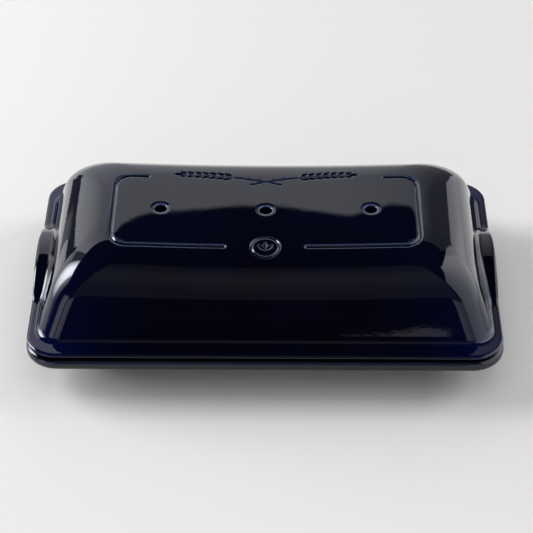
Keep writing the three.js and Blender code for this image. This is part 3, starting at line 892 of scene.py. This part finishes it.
def makeRoom():
    # pale boards and a window round the table, which only show in the glaze
    heights = np.sort(np.concatenate([np.linspace(*row) for row in roomForm["rows"]]))
    sides = np.sort(np.concatenate([np.arange(*column[:3]) + column[3] for column in roomForm["columns"]]))
    turns, levels = len(sides), len(heights)
    azimuth, elevation = np.meshgrid(sides, heights)
    a, e = np.radians(azimuth.ravel()), np.radians(elevation.ravel())
    points = roomForm["radius"] * np.column_stack([np.cos(a) * np.cos(e), np.sin(a) * np.cos(e), np.sin(e)])
    points[:, 2] += roomForm["height"]
    first = np.arange((levels - 1) * turns)
    after = first - first % turns + (first + 1) % turns
    faces = np.column_stack([first, first + turns, after + turns, after]).tolist()
    faces.append(list(range((levels - 1) * turns, levels * turns)))
    card = roomForm["card"]
    columns, rows = card["columns"], card["rows"]
    along, up = [grid.ravel() for grid in np.meshgrid(np.linspace(0, 1, columns), np.linspace(0, 1, rows))]
    spots = np.outer(1 - along, card["from"]) + np.outer(along, card["to"])
    cardPoints = np.column_stack([spots, up * card["top"]])
    near = (1 - smoothStep(along, *card["paleAlong"])) * (1 - smoothStep(up, *card["paleUp"]))
    cardGlow = card["dark"] + (card["pale"] - card["dark"]) * near
    for row in range(rows - 1):
        for column in range(columns - 1):
            k = len(points) + row * columns + column
            faces.append([k, k + 1, k + columns + 1, k + columns])
    mesh = bpy.data.meshes.new("studioRoom")
    mesh.from_pydata(np.concatenate([points, cardPoints]).tolist(), [], faces)
    storeMask(mesh, "glow", np.append(roomGlow(azimuth.ravel(), elevation.ravel()), cardGlow), 1e3)
    room = addPiece("studioRoom", mesh)
    material = bpy.data.materials.new("studioRoom")
    material.use_nodes = True
    tree = material.node_tree
    tree.nodes.clear()
    level = tree.nodes.new("ShaderNodeAttribute")
    level.attribute_name = "glow"
    shine = tree.nodes.new("ShaderNodeEmission")
    shine.inputs["Color"].default_value = roomForm["tint"]
    wire(tree, level.outputs["Fac"], shine.inputs["Strength"])
    out = tree.nodes.new("ShaderNodeOutputMaterial")
    wire(tree, shine.outputs[0], out.inputs["Surface"])
    mesh.materials.append(material)
    room.visible_camera = False
    room.visible_diffuse = False
    room.visible_transmission = False
    room.visible_shadow = False


def lamp(name, form):
    light = bpy.data.lights.new(name, "AREA")
    light.shape = "RECTANGLE"
    light.size, light.size_y = form["size"]
    light.energy = form["power"]
    made = bpy.data.objects.new(name, light)
    scene.collection.objects.link(made)
    made.location = form["at"]
    made.rotation_euler = (Vector(studioForm["aim"]) - Vector(form["at"])).to_track_quat("-Z", "Y").to_euler()
    made.visible_camera = False
    made.visible_glossy = False


def seenRays(tree):
    # camera, glossy and transmitted rays all meet the pale background
    rays = tree.nodes.new("ShaderNodeLightPath").outputs
    seen = mathNode(tree, "MAXIMUM", rays["Is Camera Ray"], rays["Is Glossy Ray"])
    return mathNode(tree, "MAXIMUM", seen, rays["Is Transmission Ray"]), rays["Is Glossy Ray"]


def makeFloor():
    sides, radius = studioForm["floorSides"], studioForm["floorRadius"]
    turns = [i / sides * 2 * math.pi for i in range(sides)]
    points = [(0, 0, 0)] + [(radius * math.cos(t), radius * math.sin(t), 0) for t in turns]
    mesh = bpy.data.meshes.new("paleFloor")
    mesh.from_pydata(points, [], [(0, i + 1, (i + 1) % sides + 1) for i in range(sides)])
    floor = addPiece("paleFloor", mesh)
    material = bpy.data.materials.new("paleFloor")
    material.use_nodes = True
    tree = material.node_tree
    tree.nodes.clear()
    matte = tree.nodes.new("ShaderNodeBsdfDiffuse")
    matte.inputs["Color"].default_value = studioForm["floorColour"]
    glow = tree.nodes.new("ShaderNodeEmission")
    glow.inputs["Strength"].default_value = studioForm["pale"]
    place = tree.nodes.new("ShaderNodeTexCoord").outputs["Object"]
    away = tree.nodes.new("ShaderNodeVectorMath")
    away.operation = "LENGTH"
    wire(tree, place, away.inputs[0])
    fade = rangeNode(tree, away.outputs["Value"], studioForm["fadeFrom"], radius * 0.97, 0, 1)
    seen, glossy = seenRays(tree)
    mix = tree.nodes.new("ShaderNodeMixShader")
    wire(tree, mathNode(tree, "MULTIPLY", fade, seen), mix.inputs[0])
    wire(tree, matte.outputs[0], mix.inputs[1])
    wire(tree, glow.outputs[0], mix.inputs[2])
    # the back of the floor shows paler in the glaze
    axes = tree.nodes.new("ShaderNodeSeparateXYZ")
    wire(tree, place, axes.inputs[0])
    back = rangeNode(tree, axes.outputs["Y"], *studioForm["shineFrom"], 0, studioForm["floorShine"])
    shine = tree.nodes.new("ShaderNodeEmission")
    wire(tree, mathNode(tree, "MULTIPLY", back, glossy), shine.inputs["Strength"])
    both = tree.nodes.new("ShaderNodeAddShader")
    wire(tree, mix.outputs[0], both.inputs[0])
    wire(tree, shine.outputs[0], both.inputs[1])
    out = tree.nodes.new("ShaderNodeOutputMaterial")
    wire(tree, both.outputs[0], out.inputs["Surface"])
    mesh.materials.append(material)


def makeWorld():
    world = bpy.data.worlds.new("studio")
    scene.world = world
    world.use_nodes = True
    tree = world.node_tree
    tree.nodes.clear()
    place = tree.nodes.new("ShaderNodeTexCoord").outputs["Generated"]
    axes = tree.nodes.new("ShaderNodeSeparateXYZ")
    wire(tree, place, axes.inputs[0])
    room = tree.nodes.new("ShaderNodeValToRGB")
    stops = studioForm["sky"]
    ramp = room.color_ramp.elements
    ramp[0].position, ramp[1].position = stops[0][0], stops[-1][0]
    for position, _ in stops[1:-1]:
        ramp.new(position)
    for element, (_, value) in zip(ramp, stops):
        element.color = (value, value, value, 1)
    wire(tree, rangeNode(tree, axes.outputs["Z"], -1, 1, 0, 1), room.inputs[0])
    dim = tree.nodes.new("ShaderNodeBackground")
    wire(tree, room.outputs["Color"], dim.inputs["Color"])
    plain = tree.nodes.new("ShaderNodeBackground")
    plain.inputs["Color"].default_value = (studioForm["pale"],) * 3 + (1,)
    mix = tree.nodes.new("ShaderNodeMixShader")
    wire(tree, seenRays(tree)[0], mix.inputs[0])
    wire(tree, dim.outputs[0], mix.inputs[1])
    wire(tree, plain.outputs[0], mix.inputs[2])
    out = tree.nodes.new("ShaderNodeOutputWorld")
    wire(tree, mix.outputs[0], out.inputs["Surface"])


makeFloor()
makeWorld()
for name, form in studioForm["lamps"].items():
    lamp(name, form)
makeRoom()
print("studio lit")
